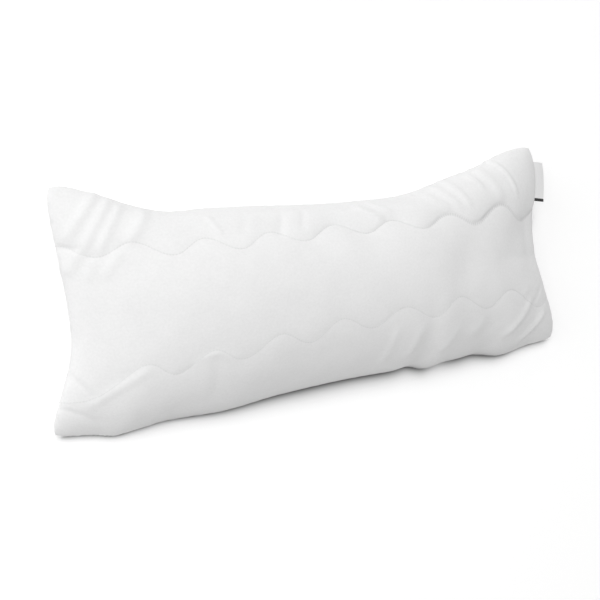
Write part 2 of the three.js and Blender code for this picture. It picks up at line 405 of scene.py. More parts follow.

# %% [markdown]
# ## Floor
# The floor is white enough to burn out, so that only the shadow close to the cloth shows. A plane would do
# for that, but the painted shadow's tone is a value on the floor's points, so the floor is a grid with fine
# lines near the bottom side.

# %% Floor
FLOOR_HALF = 6.0
FLOOR_GREY = 0.95
FLOOR_GLOW = 0.12
FLOOR_ROUGHNESS = 0.9
FLOOR_SPECULAR = 0.1
FINE_ALONG = (-400 * MM, 420 * MM, 5 * MM)
FINE_ACROSS = (-210 * MM, -120 * MM, 1 * MM)


def floor_finish():
    made, shader, wire = new_material("white_floor")
    # Painted shadow: the strip's tone darkens the floor's colour and its glow.
    bare = 1 - stored(wire, "painted_shadow_tone")
    feed_grey(shader, "Base Color", FLOOR_GREY * bare)
    feed_grey(shader, "Emission Color", bare)
    set_values(shader, {
        "Roughness": FLOOR_ROUGHNESS,
        "Specular IOR Level": FLOOR_SPECULAR,
        "Emission Strength": FLOOR_GLOW,
    })
    return made


def quads(index):
    """The faces of a grid, from the numbers of its points."""
    corners = (index[:-1, :-1], index[1:, :-1], index[1:, 1:], index[:-1, 1:])
    return np.stack(corners, axis=-1).reshape(-1, 4)


fine_x = np.concatenate([[-FLOOR_HALF], np.arange(*FINE_ALONG), [FLOOR_HALF]])
fine_y = np.concatenate([[-FLOOR_HALF], np.arange(*FINE_ACROSS), [FLOOR_HALF]])
floor_x, floor_y = np.meshgrid(fine_x, fine_y, indexing="ij")
floor_points = np.stack([floor_x, floor_y, np.zeros_like(floor_x)], axis=-1)
floor_index = np.arange(floor_x.size).reshape(floor_x.shape)
floor_mesh = bpy.data.meshes.new("floor")
floor_mesh.from_pydata(floor_points.reshape(-1, 3), [], quads(floor_index).tolist())
# Painted shadow: the strip's tone at each point of the floor.
shadow_tone_values = painted_shadow_tone(floor_x, floor_y).ravel()
floor_mesh.attributes.new("painted_shadow_tone", "FLOAT", "POINT").data.foreach_set("value", shadow_tone_values)
floor_mesh.materials.append(floor_finish())
floor = add_object("floor", floor_mesh)
print("floor", 2 * FLOOR_HALF, "m wide, darker by up to", shadow_tone_values.max().round(2), "in the strip")

# %% [markdown]
# ## Crown
# The panels rise steeply from the seam and flatten towards the crown, as any filled bag does. Where the
# top side and the left side are drawn in, the back panel rolls a little past the seam, so that the seam
# shows there as a line just inside the outline. A flat cover blown up by Cloth would find a like form by
# itself, but a formula of a few powers can be fitted to the photograph.

# %% Crown
FRONT_CROWN = 76 * MM
BACK_CROWN = 74 * MM
LENGTH_POWER = 3.0
WIDTH_POWER = 2.1
EDGE_POWER = 0.58
TOP_ROLL = 1.4 * MM
LEFT_ROLL = 1.2 * MM
LEFT_ROLL_AT = 0.45
LEFT_ROLL_SPREAD = 0.45
ROLL_REACH = 0.06


def fullness(along, across):
    """0 on the seam, 1 at the crown."""
    lengthwise = np.clip(1 - np.abs(along) ** LENGTH_POWER, 0, 1) ** EDGE_POWER
    return lengthwise * np.clip(1 - np.abs(across) ** WIDTH_POWER, 0, 1) ** EDGE_POWER


def roll(from_seam):
    """A bulge that starts at the seam, is fullest at the roll's reach and dies out past it."""
    reach = from_seam / ROLL_REACH
    return reach * np.exp(1 - reach)


def panel(along, across, face, slack=0.0):
    """The smooth form of the front panel (face 1) or the back panel (face -1)."""
    points = seam_sheet(along, across)
    crown = (FRONT_CROWN if face > 0 else BACK_CROWN) - slack
    points[..., 2] += face * crown * fullness(along, across)
    if face < 0:
        points[..., 1] += TOP_ROLL * top_pull(along) * roll(1 - across)
        points[..., 0] -= LEFT_ROLL * hump(across - LEFT_ROLL_AT, LEFT_ROLL_SPREAD) * roll(1 + along)
    return points


print("crown stands", round(FRONT_CROWN / MM), "mm over the seam on the front")

# %% [markdown]
# ## Sewn rows
# Two wavy rows of stitching pull the cloth down along soft valleys. Their waves are in step, and they
# run a little unevenly, as sewing on soft filling does. Each row is a smooth curve through a few heights
# with a cosine added. A short table gives, at a few places along it, its height in mm, the wave's size,
# how late the waves run in parts of a wave, how deep the row is pulled in, and how far below it the cloth
# takes to rise again. The cloth above a row falls to it steeply, and the thread cuts a narrow groove.

# %% Sewn rows
REACH_ABOVE = 8 * MM
GROOVE_SHARE = 0.10
GROOVE_REACH = 1.5 * MM
WAVES_PER_HALF = 3.95
WAVE_AT_MIDDLE = 3.15
RowKnot = namedtuple("RowKnot", "along height wave late depth fade")
UPPER_ROW = [
    RowKnot(-1.0, 64.5, 8.3, 0.10, 1.8, 14),
    RowKnot(-0.7, 56, 8.3, 0.10, 1.2, 14),
    RowKnot(-0.3, 53, 8.0, 0.00, 1.5, 16),
    RowKnot(0.0, 54.5, 7.2, 0.00, 3.0, 20),
    RowKnot(0.35, 51.5, 7.0, -0.05, 3.4, 28),
    RowKnot(0.7, 51.5, 11.5, 0.05, 3.8, 34),
    RowKnot(1.0, 46, 12.0, 0.27, 3.8, 34),
]
LOWER_ROW = [
    RowKnot(-1.0, -114, 8.0, 0.10, 0.0, 12),
    RowKnot(-0.85, -86, 9.5, 0.10, 0.3, 12),
    RowKnot(-0.7, -80, 10.0, 0.04, 1.2, 12),
    RowKnot(-0.5, -74, 10.0, -0.07, 0.6, 12),
    RowKnot(-0.3, -68.5, 10.0, -0.08, 0.8, 12),
    RowKnot(0.0, -60.5, 10.0, -0.11, 0.7, 12),
    RowKnot(0.3, -60, 10.0, 0.00, 0.8, 9),
    RowKnot(0.6, -60.5, 11.0, 0.03, 0.9, 8),
    RowKnot(0.8, -66, 12.0, 0.14, 0.9, 8),
    RowKnot(1.0, -80, 12.5, 0.24, 1.2, 12),
]


def along_row(row, column, t):
    """A smooth curve through one column of a row's knots."""
    knots = np.array([knot.along for knot in row])
    values = np.array([getattr(knot, column) for knot in row])
    slopes = np.gradient(values, knots)
    i = np.clip(np.searchsorted(knots, t) - 1, 0, len(knots) - 2)
    gap = knots[i + 1] - knots[i]
    s = (t - knots[i]) / gap
    start = (1 + 2 * s) * (1 - s) ** 2 * values[i] + s * (1 - s) ** 2 * gap * slopes[i]
    end = s * s * (3 - 2 * s) * values[i + 1] + s * s * (s - 1) * gap * slopes[i + 1]
    return start + end


def row_line(row, along):
    """How far across the pillow a row lies at a place along it."""
    waves = WAVE_AT_MIDDLE + WAVES_PER_HALF * along - along_row(row, "late", along)
    wave = along_row(row, "wave", along) * np.cos(2 * np.pi * waves)
    return (along_row(row, "height", along) + wave) * MM


def across_at(along, y):
    """The place across the cover that lies at height y at this place along it."""
    bottom = bottom_side(along)[..., 1]
    return 2 * (y - bottom) / (top_side(along)[..., 1] - bottom) - 1


def row_dip(row, along, y):
    """How deep a row pulls the cloth in at a point."""
    over = y - row_line(row, along)
    reach = np.where(over > 0, REACH_ABOVE, along_row(row, "fade", along) * MM)
    valley = np.exp(-np.abs(over) / reach) + GROOVE_SHARE * np.exp(-np.abs(over) / GROOVE_REACH)
    return along_row(row, "depth", along) * MM * valley


upper_line = row_line(UPPER_ROW, STATIONS) / MM
print("upper row lies from", upper_line.min().round(), "to", upper_line.max().round(), "mm across")

# %% [markdown]
# ## Cover panels
# Each panel is its smooth form with the sewn rows pulled in along its normals, and the floor presses the
# back flat where it rests. A Displace modifier could do the first, but it would need the rows as a
# texture, and here they are a formula already.

# %% Cover panels
SEAM_HOLD = 0.10
FLOOR_SHOULDER = 4 * MM


def outward(points, face):
    """Unit normals of a grid of points on one panel."""
    normals = np.cross(np.gradient(points, axis=0), np.gradient(points, axis=1)) * face
    return normals / np.maximum(np.linalg.norm(normals, axis=-1, keepdims=True), 1e-12)


def on_floor(z):
    """The floor presses the back flat, with a soft shoulder round the flat patch."""
    soft = (z + FLOOR_SHOULDER) ** 2 / (4 * FLOOR_SHOULDER)
    return np.where(z <= -FLOOR_SHOULDER, 0, np.where(z >= FLOOR_SHOULDER, z, soft))


def cover_points(along, across, face, slack=0.0):
    """Points of one panel with its sewn rows, slack metres under full."""
    points = panel(along, across, face, slack)
    y = points[..., 1]
    dip = np.maximum(row_dip(UPPER_ROW, along, y), row_dip(LOWER_ROW, along, y))
    dip = dip * np.minimum(1, fullness(along, across) / SEAM_HOLD)
    points -= dip[..., None] * outward(points, face)
    points[..., 2] = on_floor(points[..., 2])
    return points


print("rows die out within", SEAM_HOLD, "of full height, floor shoulder", FLOOR_SHOULDER / MM, "mm")

# %% [markdown]
# ## Cover grid
# The lines of the cover's mesh follow the cloth: two of them lie on the sewn rows, and the others crowd
# towards the rows and the seam, so that grooves and edges stay crisp. A Remesh modifier would give even
# faces instead and blur both.

# %% Cover grid
COLUMNS = 148
OUTER_LINES = 26
MIDDLE_LINES = 32
LINES = 2 * OUTER_LINES + MIDDLE_LINES
LINE_CROWDING = 0.75
TRIAL_STEPS = 240


def lengths_along(points):
    """How far each point lies from the first one, along the last axis of a set of lines."""
    steps = np.linalg.norm(np.diff(points, axis=-2), axis=-1)
    return np.concatenate([np.zeros(steps.shape[:-1] + (1,)), np.cumsum(steps, axis=-1)], axis=-1)


def line_places(along, start, end, count):
    """Places across the cover from start to end, spaced on the front's cloth and closer at both ends."""
    trial = (1 - np.cos(np.pi * np.linspace(0, 1, TRIAL_STEPS + 1))) / 2
    across = start[:, None] + (end - start)[:, None] * trial
    runs = lengths_along(panel(np.repeat(along[:, None], TRIAL_STEPS + 1, axis=1), across, 1))
    step = np.linspace(0, 1, count + 1)
    share = step + LINE_CROWDING * ((1 - np.cos(np.pi * step)) / 2 - step)
    return np.array([np.interp(share * run[-1], run, places) for run, places in zip(runs, across)])


def column_places():
    """Places along the cover that are evenly spaced on the cloth at its middle."""
    trial = np.sin(np.linspace(-1, 1, TRIAL_STEPS + 1) * np.pi / 2)
    run = lengths_along(panel(trial, np.zeros_like(trial), 1))
    return np.interp(np.linspace(0, run[-1], COLUMNS + 1), run, trial)


def cover_grid():
    """The places, along and across, of the grid's points on one panel."""
    along = column_places()
    lower = across_at(along, row_line(LOWER_ROW, along))
    upper = across_at(along, row_line(UPPER_ROW, along))
    seam = np.ones_like(along)
    bands = [
        line_places(along, -seam, lower, OUTER_LINES),
        line_places(along, lower, upper, MIDDLE_LINES)[:, 1:],
        line_places(along, upper, seam, OUTER_LINES)[:, 1:],
    ]
    return np.repeat(along[:, None], LINES + 1, axis=1), np.concatenate(bands, axis=1)


along_grid, across_grid = cover_grid()
print("each panel is", COLUMNS, "by", LINES, "faces")

# %% [markdown]
# ## Cover mesh
# The cover is one closed skin: a front grid and a back grid that share the seam's points. Two sheets could
# be joined by Merge by Distance, but with the shared points numbered once the order of the points stays
# known to every later step. The skin starts a little slack, because the filling will swell it.

# %% Cover mesh
SLACK = 1 * MM

front_index = np.arange((COLUMNS + 1) * (LINES + 1)).reshape(COLUMNS + 1, LINES + 1)
back_index = front_index.copy()
back_inside = np.arange((COLUMNS - 1) * (LINES - 1)).reshape(COLUMNS - 1, LINES - 1)
back_index[1:-1, 1:-1] = back_inside + front_index.size


def both_panels(front, back):
    """Values on the front grid and on the back grid as one list in the order of the mesh's points."""
    tail = front.shape[2:]
    return np.concatenate([front.reshape(-1, *tail), back[1:-1, 1:-1].reshape(-1, *tail)])


front_points = cover_points(along_grid, across_grid, 1, SLACK)
back_points = cover_points(along_grid, across_grid, -1, SLACK)
cover_start = both_panels(front_points, back_points)
cover_faces = np.concatenate([quads(front_index), quads(back_index)[:, ::-1]])
cover_mesh = bpy.data.meshes.new("cover_cloth")
cover_mesh.from_pydata(cover_start, [], cover_faces.tolist())
cover = add_object("cover_cloth", cover_mesh)
print("cover has", len(cover_start), "points and", len(cover_faces), "faces")

# %% [markdown]
# ## Filling
# Filled cloth swells between the lines that hold it. Blender's Cloth with pressure and no gravity shows
# that: the seam and the sewn rows are pinned, and the panels between them puff up and pull tight. How
# far a point may move is capped, so the pillow keeps its measured form, and the result is written back
# to the mesh so that no simulation is left on it.

# %% Filling
SWELL_FRAMES = 20
SWELL_CAP = 5 * MM
CLOTH_SETTINGS = {
    "quality": 5,
    "mass": 0.2,
    "tension_stiffness": 30,
    "compression_stiffness": 30,
    "shear_stiffness": 15,
    "bending_stiffness": 1.0,
    "use_pressure": True,
    "uniform_pressure_force": 4.0,
    "vertex_group_mass": "sewn",
}
SEWN_LINES = (OUTER_LINES, LINES - OUTER_LINES)

seam_points = np.unique(
    np.concatenate([front_index[0], front_index[-1], front_index[:, 0], front_index[:, -1]])
)
row_points = [index[:, line] for index in (front_index, back_index) for line in SEWN_LINES]


def swollen(piece):
    """The points of a piece after its cloth has swollen between its pins."""
    cloth = piece.modifiers.new("filling", "CLOTH")
    for name, value in CLOTH_SETTINGS.items():
        setattr(cloth.settings, name, value)
    cloth.settings.effector_weights.gravity = 0
    cloth.collision_settings.use_collision = False
    cloth.point_cache.frame_end = SWELL_FRAMES
    for step in range(1, SWELL_FRAMES + 1):
        scene.frame_set(step)
    shaped = piece.evaluated_get(bpy.context.evaluated_depsgraph_get()).to_mesh()
    points = np.empty(len(shaped.vertices) * 3)
    shaped.vertices.foreach_get("co", points)
    piece.modifiers.remove(cloth)
    scene.frame_set(1)
    return points.reshape(-1, 3)


pins = np.unique(np.concatenate([seam_points, *row_points]))
cover.vertex_groups.new(name="sewn").add(pins.tolist(), 1.0, "REPLACE")
cover_shape = cover_start.copy()
move = swollen(cover) - cover_start
far = np.linalg.norm(move, axis=1, keepdims=True)
cover_shape += move * SWELL_CAP * np.tanh(far / SWELL_CAP) / np.maximum(far, 1e-9)
print("the cloth swelled by up to", (far.max() / MM).round(1), "mm, mean", (far.mean() / MM).round(1))
cover_shape[:, 2] = np.maximum(cover_shape[:, 2], 0)
cover_mesh.vertices.foreach_set("co", cover_shape.ravel())
cover_mesh.update()
print("highest point of the filled cover:", (cover_shape[:, 2].max() / MM).round(1), "mm")

# %% [markdown]
# ## Cloth measures
# The weave, the needle holes and the small puckers all follow the cloth and not the room. So each point
# of the cover keeps where it lies on the flat cloth, as a UV map in metres, and how far it is from the
# nearest sewn row and from the seam, as attributes. Subdivision carries them on to the finer mesh.

# %% Cloth measures
cloth_across = lengths_along(front_points)
cloth_along = lengths_along(front_points.transpose(1, 0, 2)).T
row_gap = np.min([np.abs(cloth_across - cloth_across[:, [line]]) for line in SEWN_LINES], axis=0)
row_run = np.where(
    np.arange(LINES + 1) < LINES // 2,
    cloth_along[:, [SEWN_LINES[0]]],
    cloth_along[:, [SEWN_LINES[1]]],
)
side_gap = np.minimum(cloth_across, cloth_across[:, [-1]] - cloth_across)
end_gap = np.minimum(cloth_along, cloth_along[[-1]] - cloth_along)
seam_gap = np.minimum(side_gap, end_gap)
seam_run = np.where(side_gap < end_gap, cloth_along, cloth_across)


def keep_measure(mesh, name, values):
    """Keep one value for each point of both panels."""
    mesh.attributes.new(name, "FLOAT", "POINT").data.foreach_set("value", both_panels(values, values))


def keep_map(mesh, name, places):
    """A UV map that gives each corner of a face its point's place on the flat cloth."""
    corner_points = np.empty(len(mesh.loops), dtype=int)
    mesh.loops.foreach_get("vertex_index", corner_points)
    mesh.uv_layers.new(name=name).data.foreach_set("uv", places[corner_points].ravel())


measures = {"row_gap": row_gap, "row_run": row_run, "seam_gap": seam_gap, "seam_run": seam_run}
for name, values in measures.items():
    keep_measure(cover_mesh, name, values)
flat_place = np.stack([cloth_along, cloth_across], axis=-1)
keep_map(cover_mesh, "cloth", both_panels(flat_place, flat_place))
print("cloth measures", (cloth_along.max() / MM).round(), "by", (cloth_across.max() / MM).round(), "mm")

# %% [markdown]
# ## Folds
# Where the filling thins out towards the corners the cloth has more width than it needs, and lies in
# soft folds that run across each corner. Sculpting would be the usual way in Blender. Here each fold is
# a row of a short table, with its two ends in mm, how far it bows, its half width and its height, so that
# it can be placed against the photograph and changed by hand. The folds are on both faces, lower on the
# back. The broad dents at the two ends are on the front alone.

# %% Folds
Fold = namedtuple("Fold", "from_x from_y to_x to_y bow half_width up")
TOP_LEFT_FOLDS = [
    Fold(-274, 126, -316, 75, -2, 6, 2.4),
    Fold(-266, 113, -301, 62, -2, 6, 2.4),
    Fold(-254, 107, -285, 59, -2, 5.5, 2.0),
    Fold(-228, 97, -254, 66, 0, 7, 2.2),
    Fold(-305, 60, -319, 37, 0, 6, 2.0),
    Fold(-288, 52, -302, 29, 0, 6, 1.3),
    Fold(-264, 56, -285, 31, 0, 7, 1.5),
    Fold(-325, 68, -306, 63, 0, 4, -1.2),
]
TOP_FOLDS = [
    Fold(-230, 82, 130, 71, 0, 10, 1.6),
    Fold(-160, 84, -150, 65, 0, 3.5, 1.3),
    Fold(-114, 83, -124, 63, 0, 6, -0.8),
    Fold(-66, 82, -81, 54, 0, 6, -1.1),
    Fold(-38, 81, -49, 60, 0, 5, -0.9),
    Fold(31, 79, 62, 60, 0, 4.5, 1.8),
    Fold(52, 82, 78, 68, 0, 4, 1.3),
]
TOP_RIGHT_FOLDS = [
    Fold(254, 125, 284, 75, 4, 3.5, 1.7),
    Fold(229, 117, 255, 69, 2, 7.5, 1.6),
    Fold(214, 106, 227, 86, 0, 4, 1.1),
    Fold(178, 101, 198, 68, 0, 5, 1.4),
    Fold(156, 96, 182, 65, 0, 5, 1.2),
    Fold(136, 86, 164, 66, 0, 4.5, 1.3),
]
BOTTOM_RIGHT_FOLDS = [
    Fold(307, -73, 264, -114, 2, 6, 2.4),
    Fold(340, -94, 299, -128, 2, 6, 2.6),
    Fold(337, -54, 313, -79, 0, 4, -0.8),
    Fold(218, -84, 200, -107, 0, 10, 1.2),
    Fold(173, -89, 155, -122, 0, 7, 1.1),
    Fold(111, -79, 104, -119, 0, 7, 1.1),
    Fold(73, -78, 68, -121, 0, 7, 1.1),
    Fold(303, -49, 287, -66, 0, 6, 0.6),
]
BOTTOM_LEFT_FOLDS = [
    Fold(-310, -113, -245, -79, 0, 6, 1.5),
    Fold(-326, -74, -301, -108, 1, 3.5, -2.0),
    Fold(-336, -112, -294, -137, 1, 3.5, -1.3),
    Fold(-168, -75, -163, -120, 0, 8, -0.8),
    Fold(-192, -77, -142, -84, 10, 5, 0.9),
]
END_DENTS = [
    Fold(250, -9, 340, -14, 0, 10, -1.2),
    Fold(150, 15, 380, 8, 0, 60, -8.0),
    Fold(-320, 42, -230, 40, 0, 26, -1.0),
]
FOLDS = TOP_LEFT_FOLDS + TOP_FOLDS + TOP_RIGHT_FOLDS + BOTTOM_RIGHT_FOLDS + BOTTOM_LEFT_FOLDS
print(len(FOLDS), "folds on both faces and", len(END_DENTS), "dents on the front")

# %% [markdown]
# ## Form of a fold
# A fold in soft cloth is a rounded ridge or valley that sinks away at its two ends, and at the seam, where
# the cloth is held. A bell curve across the fold and a soft ramp at each end give that with few numbers.

# %% Form of a fold
FOLD_END = 0.2
FOLD_HOLD = 0.7


def fold_height(fold, x, y, from_seam):
    """A rounded ridge or valley that dies out at its ends and, over most of its half width, at the seam."""
    run = np.array((fold.to_x - fold.from_x, fold.to_y - fold.from_y)) * MM
    length = np.hypot(*run)
    off_x = x - fold.from_x * MM
    off_y = y - fold.from_y * MM
    way = (off_x * run[0] + off_y * run[1]) / length**2
    aside = (off_y * run[0] - off_x * run[1]) / length - fold.bow * MM * 4 * way * (1 - way)
    ends = ramp(-FOLD_END, FOLD_END, way) * (1 - ramp(1 - FOLD_END, 1 + FOLD_END, way))
    ends = ends * ramp(0, FOLD_HOLD * fold.half_width * MM, from_seam)
    return fold.up * MM * ends * hump(aside, fold.half_width * MM)


def fold_relief(folds, points, from_seam):
    """How far these folds together lift the cloth at each point."""
    return sum(fold_height(fold, points[:, 0], points[:, 1], from_seam) for fold in folds)


print("the highest fold rises", max(fold.up for fold in FOLDS), "mm")

# %% [markdown]
# ## Finer mesh
# One subdivision rounds the skin, with the seam and the sewn rows creased so that they stay lines. The
# finer mesh then takes the first one's place, so that no modifier is left on the piece.

# %% Finer mesh
SEAM_CREASE = 0.7
ROW_CREASE = 0.4


def crease_lines(mesh):
    """Crease the seam and the sewn rows, so that the subdivision keeps them crisp."""
    on_seam = np.zeros(len(mesh.vertices), dtype=bool)
    on_row = on_seam.copy()
    on_seam[seam_points] = True
    on_row[np.concatenate(row_points)] = True
    ends = np.empty(2 * len(mesh.edges), dtype=int)
    mesh.edges.foreach_get("vertices", ends)
    first, second = ends.reshape(-1, 2).T
    crease = SEAM_CREASE * (on_seam[first] & on_seam[second])
    crease = np.maximum(crease, ROW_CREASE * (on_row[first] & on_row[second]))
    mesh.attributes.new("crease_edge", "FLOAT", "EDGE").data.foreach_set("value", crease)


def as_plain_mesh(piece, name):
    """The piece's evaluated mesh in place of its old one, with its modifiers gone."""
    made = bpy.data.meshes.new_from_object(piece.evaluated_get(bpy.context.evaluated_depsgraph_get()))
    made.name = name
    piece.modifiers.clear()
    piece.data = made
    return made


crease_lines(cover_mesh)
finer = cover.modifiers.new("finer", "SUBSURF")
finer.levels = finer.render_levels = 1
cover_mesh = as_plain_mesh(cover, "cover_cloth")
print("cover now has", len(cover_mesh.polygons), "faces")

# %% [markdown]
# ## Small relief
# The small forms go on last, because the swelling would pull them flat: the folds, slow lumps of fibre
# under the cloth, and short puckers where the needle gathered the cloth at the seam and along the rows.
# They are real relief along the cloth's normals, not bump, so that they show in outline.

# %% Small relief
BACK_SHARE = 0.7
LUMP_SIZE = 42 * MM
LUMP_HEIGHT = 0.9 * MM
PUCKER_SIZE = 11 * MM
PUCKER_STRETCH = 0.3
SEAM_PUCKER = 0.9 * MM
SEAM_PUCKER_REACH = 11 * MM
ROW_PUCKER = 0.35 * MM
ROW_PUCKER_REACH = 5 * MM
SEAM_SINK = 0.5 * MM
SEAM_SINK_REACH = 2.2 * MM


def measure(mesh, name):
    """The values that the mesh keeps on its points under this name."""
    values = np.empty(len(mesh.vertices))
    mesh.attributes[name].data.foreach_get("value", values)
    return values


def points_of(mesh):
    points = np.empty(3 * len(mesh.vertices))
    mesh.vertices.foreach_get("co", points)
    return points.reshape(-1, 3)


def normals_of(mesh):
    normals = np.empty(3 * len(mesh.vertices))
    mesh.vertex_normals.foreach_get("vector", normals)
    return normals.reshape(-1, 3)


def bumps(places, size):
    """Smooth noise from -1 to 1 with bumps of the given size."""
    return np.array([noise.noise(place) for place in (places / size).tolist()])


cover_points_fine = points_of(cover_mesh)
from_seam = measure(cover_mesh, "seam_gap")
from_row = measure(cover_mesh, "row_gap")
face_sign = np.sign(normals_of(cover_mesh)[:, 2])


def puckers(run, gap, reach):
    """Short puckers along a sewn line, drawn out across it, that die out within a reach of it."""
    places = np.stack([run, PUCKER_STRETCH * gap, face_sign], axis=1)
    return bumps(places, PUCKER_SIZE) * np.exp(-gap / reach)


folds = fold_relief(FOLDS, cover_points_fine, from_seam)
dents = fold_relief(END_DENTS, cover_points_fine, from_seam)
small_relief = np.where(face_sign > 0, folds + dents, BACK_SHARE * folds)
small_relief += LUMP_HEIGHT * bumps(cover_points_fine, LUMP_SIZE) * ramp(0, LUMP_SIZE, from_seam)
small_relief += SEAM_PUCKER * puckers(measure(cover_mesh, "seam_run"), from_seam, SEAM_PUCKER_REACH)
small_relief += ROW_PUCKER * puckers(measure(cover_mesh, "row_run"), from_row, ROW_PUCKER_REACH)
small_relief -= SEAM_SINK * np.exp(-from_seam / SEAM_SINK_REACH)
cover_points_fine += small_relief[:, None] * normals_of(cover_mesh)
cover_points_fine[:, 2] = np.maximum(cover_points_fine[:, 2], 0)
cover_mesh.vertices.foreach_set("co", cover_points_fine.ravel())
cover_mesh.shade_smooth()
cover_mesh.update()
relief_mm = small_relief / MM
print("small relief from", relief_mm.min().round(1), "to", relief_mm.max().round(1), "mm")

# %% [markdown]
# ## Needle holes and painted floor shade
# The needle leaves a small hole at each stitch of the rows. Shade is also painted on the cloth close to the
# floor along the bottom side, on which the pillow in the photograph stands. Both could be painted on by
# hand.
# Worked out from the cloth's own measures and place, they follow when the pillow's form is changed.

# %% Needle holes and painted floor shade
STITCH_PITCH = 3.6 * MM
HOLE_HALF = 0.9 * MM
FLOOR_SHADE_HEIGHT = 24 * MM
FLOOR_SHADE_REACH = 24 * MM
FLOOR_SHADE_MIDDLE = 35 * MM
FLOOR_SHADE_END = 310 * MM
FLOOR_SHADE_FADE = 80 * MM
FLOOR_SHADE_LEAST = 0.05


def axis_of(vector, axis):
    """One of a vector's three numbers."""
    return vector.node("ShaderNodeSeparateXYZ", None, {0: vector}, output=axis)


def ripple(place, pitch):
    """A wave from -1 to 1 that repeats at the given pitch."""
    return (place * (2 * math.pi / pitch)).sine()


def needle_holes(wire):
    """1 in a needle hole on a sewn row, 0 away from it."""
    near = (1 - stored(wire, "row_gap") / HOLE_HALF).clipped(0, 1)
    return near * (ripple(stored(wire, "row_run"), STITCH_PITCH) * 0.5 + 0.5)


def painted_floor_shade(room, from_bottom):
    """How much shade is painted on the cloth near the floor, along the middle of the bottom side."""
    from_middle = (axis_of(room, "X") - FLOOR_SHADE_MIDDLE).absolute()
    ends = ((FLOOR_SHADE_END - from_middle) / FLOOR_SHADE_FADE).clipped(FLOOR_SHADE_LEAST, 1)
    fall = axis_of(room, "Z") / FLOOR_SHADE_HEIGHT + from_bottom / FLOOR_SHADE_REACH
    return ends * (0 - fall).exponent()


print("needle holes every", round(STITCH_PITCH / MM, 1), "mm")

# %% [markdown]
# ## Cover cloth
# The cover is brushed white microfibre: close, matt, with a short nap that catches light at its edges.
# The weave is two crossed waves on the cloth's own UV map, half a millimetre apart, and the nap is fine
# noise over it. A grain and a slow mottle keep the white from looking like paint. A cloth scan from a
# library would need an image, and these few patterns show as much of the cloth as can be seen from a step
# away. Shade is painted a little darker in the needle holes and where the cloth turns in at the seam.

# %% Cover cloth
CLOTH_GREY = 0.79
MOTTLE_GREY = 0.04
MOTTLE_SIZE = 22 * MM
MOTTLE_DETAIL = 4.0
GRAIN_GREY = 0.08
GRAIN_SIZE = 2.8 * MM
GRAIN_DETAIL = 2.0
NAP_GREY = 0.02
NAP_SIZE = 0.9 * MM
NAP_DETAIL = 3.0
THREAD_PITCH = 0.5 * MM
WEAVE_SHARE = 0.35
NAP_SHARE = 0.65
CLOTH_BUMP = 0.25
CLOTH_BUMP_HEIGHT = 0.25 * MM
CLOTH_ROUGHNESS = 0.95
CLOTH_SPECULAR = 0.15
CLOTH_SHEEN = 0.12
CLOTH_SHEEN_ROUGHNESS = 0.5
HOLE_SHADE_DARK = 0.17
SEAM_HALF = 1.2 * MM
SEAM_SHADE_DARK = 0.08
PAINTED_FLOOR_SHADE = 0.9


def spots(room, size, detail):
    """Smooth noise from 0 to 1 with spots of the given size."""
    return room.node("ShaderNodeTexNoise", None, {"Vector": room, "Scale": 1 / size, "Detail": detail})


def cover_finish():
    made, shader, wire = new_material("cover_cloth")
    room = wire.node("ShaderNodeTexCoord", output="Object")
    cloth = wire.node("ShaderNodeUVMap", {"uv_map": "cloth"})
    weave = ripple(axis_of(cloth, "X"), THREAD_PITCH) * ripple(axis_of(cloth, "Y"), THREAD_PITCH)
    nap = spots(room, NAP_SIZE, NAP_DETAIL)
    grain = spots(room, GRAIN_SIZE, GRAIN_DETAIL)
    mottle = spots(room, MOTTLE_SIZE, MOTTLE_DETAIL)
    holes = needle_holes(wire)
    seam = (1 - stored(wire, "seam_gap") / SEAM_HALF).clipped(0, 1)
    level = CLOTH_GREY + MOTTLE_GREY * (mottle - 0.5) + GRAIN_GREY * (grain - 0.5)
    level = level + NAP_GREY * (nap - 0.5)
    # Painted shade: darker in the needle holes and in a thin line along the seam.
    level = level * (1 - HOLE_SHADE_DARK * holes) * (1 - SEAM_SHADE_DARK * seam)
    # Painted shade: the cloth is darker close to the floor along the bottom side.
    level = level * (1 - PAINTED_FLOOR_SHADE * painted_floor_shade(room, axis_of(cloth, "Y")))
    feed_grey(shader, "Base Color", level)
    height = weave * WEAVE_SHARE + nap * NAP_SHARE - holes
    bump = {"Strength": CLOTH_BUMP, "Distance": CLOTH_BUMP_HEIGHT, "Height": height}
    feed(shader, "Normal", wire.node("ShaderNodeBump", None, bump))
    set_values(shader, {
        "Roughness": CLOTH_ROUGHNESS,
        "Specular IOR Level": CLOTH_SPECULAR,
        "Sheen Weight": CLOTH_SHEEN,
        "Sheen Roughness": CLOTH_SHEEN_ROUGHNESS,
    })
    return made


cover_mesh.materials.clear()
cover_mesh.materials.append(cover_finish())
print("cover cloth finished")

# %% [markdown]
# ## Sewing thread
# The rows are sewn with white thread, twisted from finer strands. The strands could be modelled, but at
# this size the twist shows only as a slight unevenness, and fine noise does for it.

# %% Sewing thread
THREAD_GREY = 0.74
TWIST_GREY = 0.08
TWIST_SIZE = 0.4 * MM
TWIST_DETAIL = 2.0
THREAD_ROUGHNESS = 0.7


def thread_finish():
    made, shader, wire = new_material("sewing_thread")
    room = wire.node("ShaderNodeTexCoord", output="Object")
    twist = spots(room, TWIST_SIZE, TWIST_DETAIL)
    feed_grey(shader, "Base Color", THREAD_GREY + TWIST_GREY * (twist - 0.5))
    set_values(shader, {"Roughness": THREAD_ROUGHNESS})
    return made


sewing_thread = thread_finish()
print("finish of the rows:", sewing_thread.name)

# %% [markdown]
# ## Stitch tree
# A stitch is a short bead of thread that lies in the valley, one every few millimetres. Geometry Nodes set
# one on each step of the sewn lines: the lines become curves, the curves are resampled to the stitch pitch,
# and one bead is placed and turned on each point. An Array with a Curve modifier would bend the beads,
# and would have to be set up for each row.

# %% Stitch tree
BEAD_SEGMENTS = 6
BEAD_RINGS = 5


